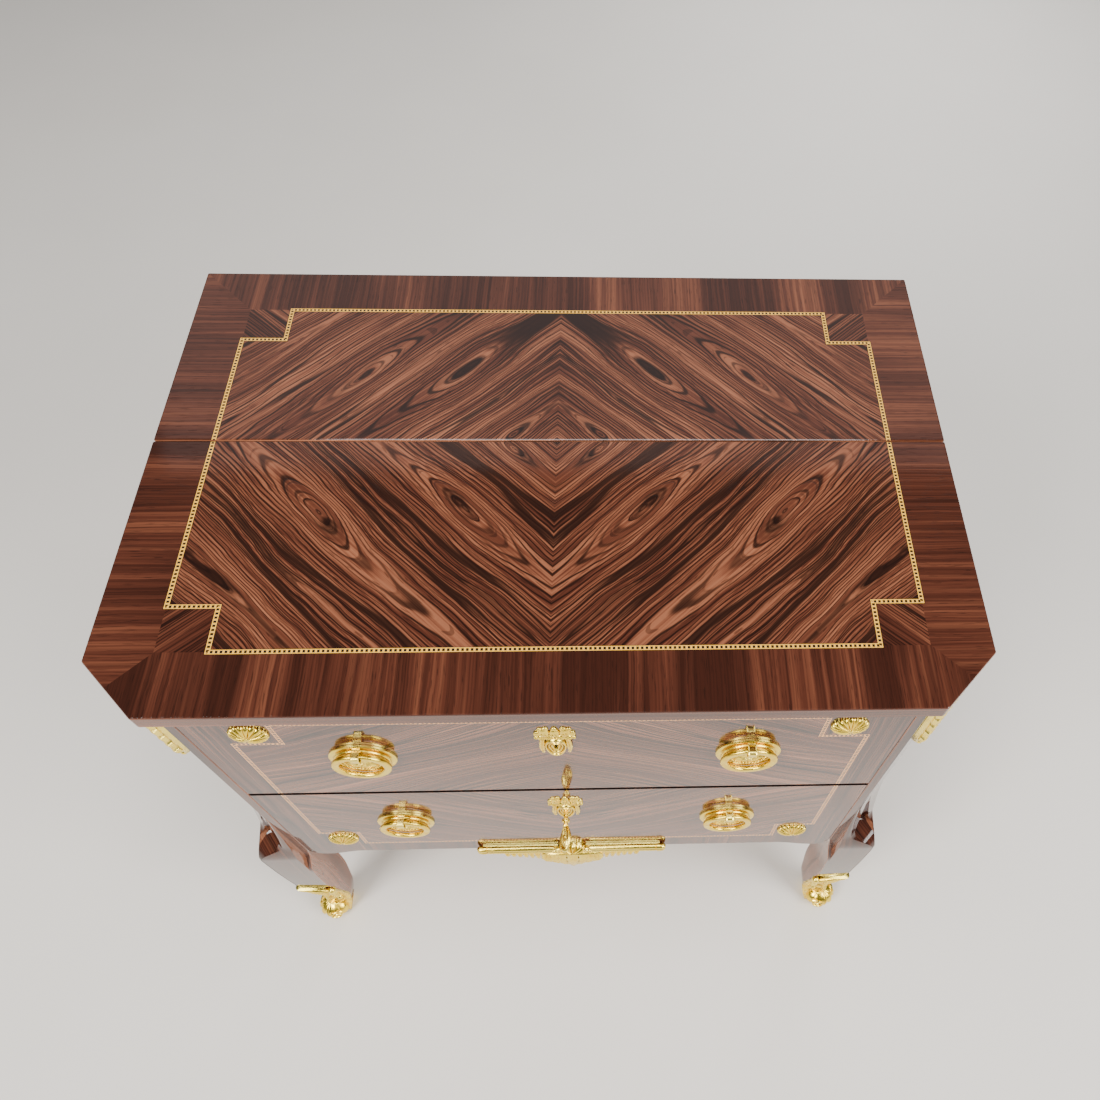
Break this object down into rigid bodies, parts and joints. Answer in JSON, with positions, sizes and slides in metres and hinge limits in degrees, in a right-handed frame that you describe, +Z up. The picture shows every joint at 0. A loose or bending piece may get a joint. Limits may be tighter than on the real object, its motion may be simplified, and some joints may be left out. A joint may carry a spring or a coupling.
{
  "type": "convertible desk",
  "caption": "Veneered two-drawer commode desk on cabriole legs with gilt mounts; the front top leaf draws forward over a leather writing bed.",
  "frame": {"origin": "middle of the overall box, on the floor", "axes": "+X to the desk's right as seen from the front, +Y to its back, +Z up; the drawers and the leaf open towards -Y"},
  "size_m": [0.807, 0.5759, 0.79],
  "materials": {
    "rosewood": "glossy french-polished veneer",
    "beech": "planed, waxed",
    "gilt": "polished gilt",
    "iron": "filed, oiled",
    "leather": "smooth, waxed"
  },
  "bodies": {
    "case": {"front_left_leg": "rosewood", "front_right_leg": "rosewood", "rear_left_leg": "rosewood", "rear_right_leg": "rosewood", "front_left_sabot": "gilt", "front_right_sabot": "gilt", "rear_left_sabot": "gilt", "rear_right_sabot": "gilt", "left_chute": "gilt", "right_chute": "gilt", "left_side_panel": "rosewood", "right_side_panel": "rosewood", "back_panel": "beech", "bottom_board": "beech", "dust_board": "beech", "top_board": "beech", "left_top_rail": "beech", "right_top_rail": "beech", "upper_left_drawer_guide": "beech", "upper_right_drawer_guide": "beech", "lower_left_drawer_guide": "beech", "lower_right_drawer_guide": "beech", "writing_bed": "rosewood", "bed_leather": "leather", "rear_leaf": "rosewood"},
    "leaf": {"front_leaf": "rosewood", "left_leaf_bearer": "beech", "right_leaf_bearer": "beech"},
    "upper_drawer": {"upper_drawer_front": "rosewood", "upper_drawer_left_side": "beech", "upper_drawer_right_side": "beech", "upper_drawer_back": "beech", "upper_drawer_bottom": "beech", "upper_lock": "iron", "upper_escutcheon": "gilt", "upper_left_pull_plate": "gilt", "upper_left_rosette": "gilt", "upper_right_pull_plate": "gilt", "upper_right_rosette": "gilt"},
    "lower_drawer": {"lower_drawer_front": "rosewood", "lower_drawer_left_side": "beech", "lower_drawer_right_side": "beech", "lower_drawer_back": "beech", "lower_drawer_bottom": "beech", "lower_lock": "iron", "lower_escutcheon": "gilt", "lower_left_pull_plate": "gilt", "lower_left_rosette": "gilt", "lower_right_pull_plate": "gilt", "lower_right_rosette": "gilt", "apron_mount": "gilt"},
    "upper_bolt": {"upper_lock_bolt": "iron"},
    "lower_bolt": {"lower_lock_bolt": "iron"},
    "key": {"lock_key": "gilt"},
    "upper_left_ring": {"upper_left_ring": "gilt"},
    "upper_right_ring": {"upper_right_ring": "gilt"},
    "lower_left_ring": {"lower_left_ring": "gilt"},
    "lower_right_ring": {"lower_right_ring": "gilt"}
  },
  "joints": [
    {"name": "leaf_slide", "type": "slide", "parent": "case", "child": "leaf", "axis": [0, -1, 0], "range_m": [0, 0.24]},
    {"name": "upper_drawer_slide", "type": "slide", "parent": "case", "child": "upper_drawer", "axis": [0, -1, 0], "range_m": [0, 0.32]},
    {"name": "lower_drawer_slide", "type": "slide", "parent": "case", "child": "lower_drawer", "axis": [0, -1, 0], "range_m": [0, 0.32]},
    {"name": "upper_bolt_slide", "type": "slide", "parent": "upper_drawer", "child": "upper_bolt", "axis": [0, 0, 1], "range_m": [0, 0.005]},
    {"name": "lower_bolt_slide", "type": "slide", "parent": "lower_drawer", "child": "lower_bolt", "axis": [0, 0, 1], "range_m": [0, 0.005]},
    {"name": "key_turn", "type": "hinge", "parent": "lower_drawer", "child": "key", "pos_m": [0, -0.237, 0.475], "axis": [0, 1, 0], "range_deg": [0, 180]},
    {"name": "upper_left_ring_hinge", "type": "hinge", "parent": "upper_drawer", "child": "upper_left_ring", "pos_m": [-0.1895, -0.2472, 0.6728], "axis": [-1, 0, 0], "range_deg": [0, 80]},
    {"name": "upper_right_ring_hinge", "type": "hinge", "parent": "upper_drawer", "child": "upper_right_ring", "pos_m": [0.1895, -0.2472, 0.6728], "axis": [-1, 0, 0], "range_deg": [0, 80]},
    {"name": "lower_left_ring_hinge", "type": "hinge", "parent": "lower_drawer", "child": "lower_left_ring", "pos_m": [-0.1895, -0.2472, 0.4608], "axis": [-1, 0, 0], "range_deg": [0, 80]},
    {"name": "lower_right_ring_hinge", "type": "hinge", "parent": "lower_drawer", "child": "lower_right_ring", "pos_m": [0.1895, -0.2472, 0.4608], "axis": [-1, 0, 0], "range_deg": [0, 80]}
  ],
  "couplings": [
    {"joint": "key_turn", "follows": "lower_bolt_slide", "rad_per_m": 628}
  ]
}
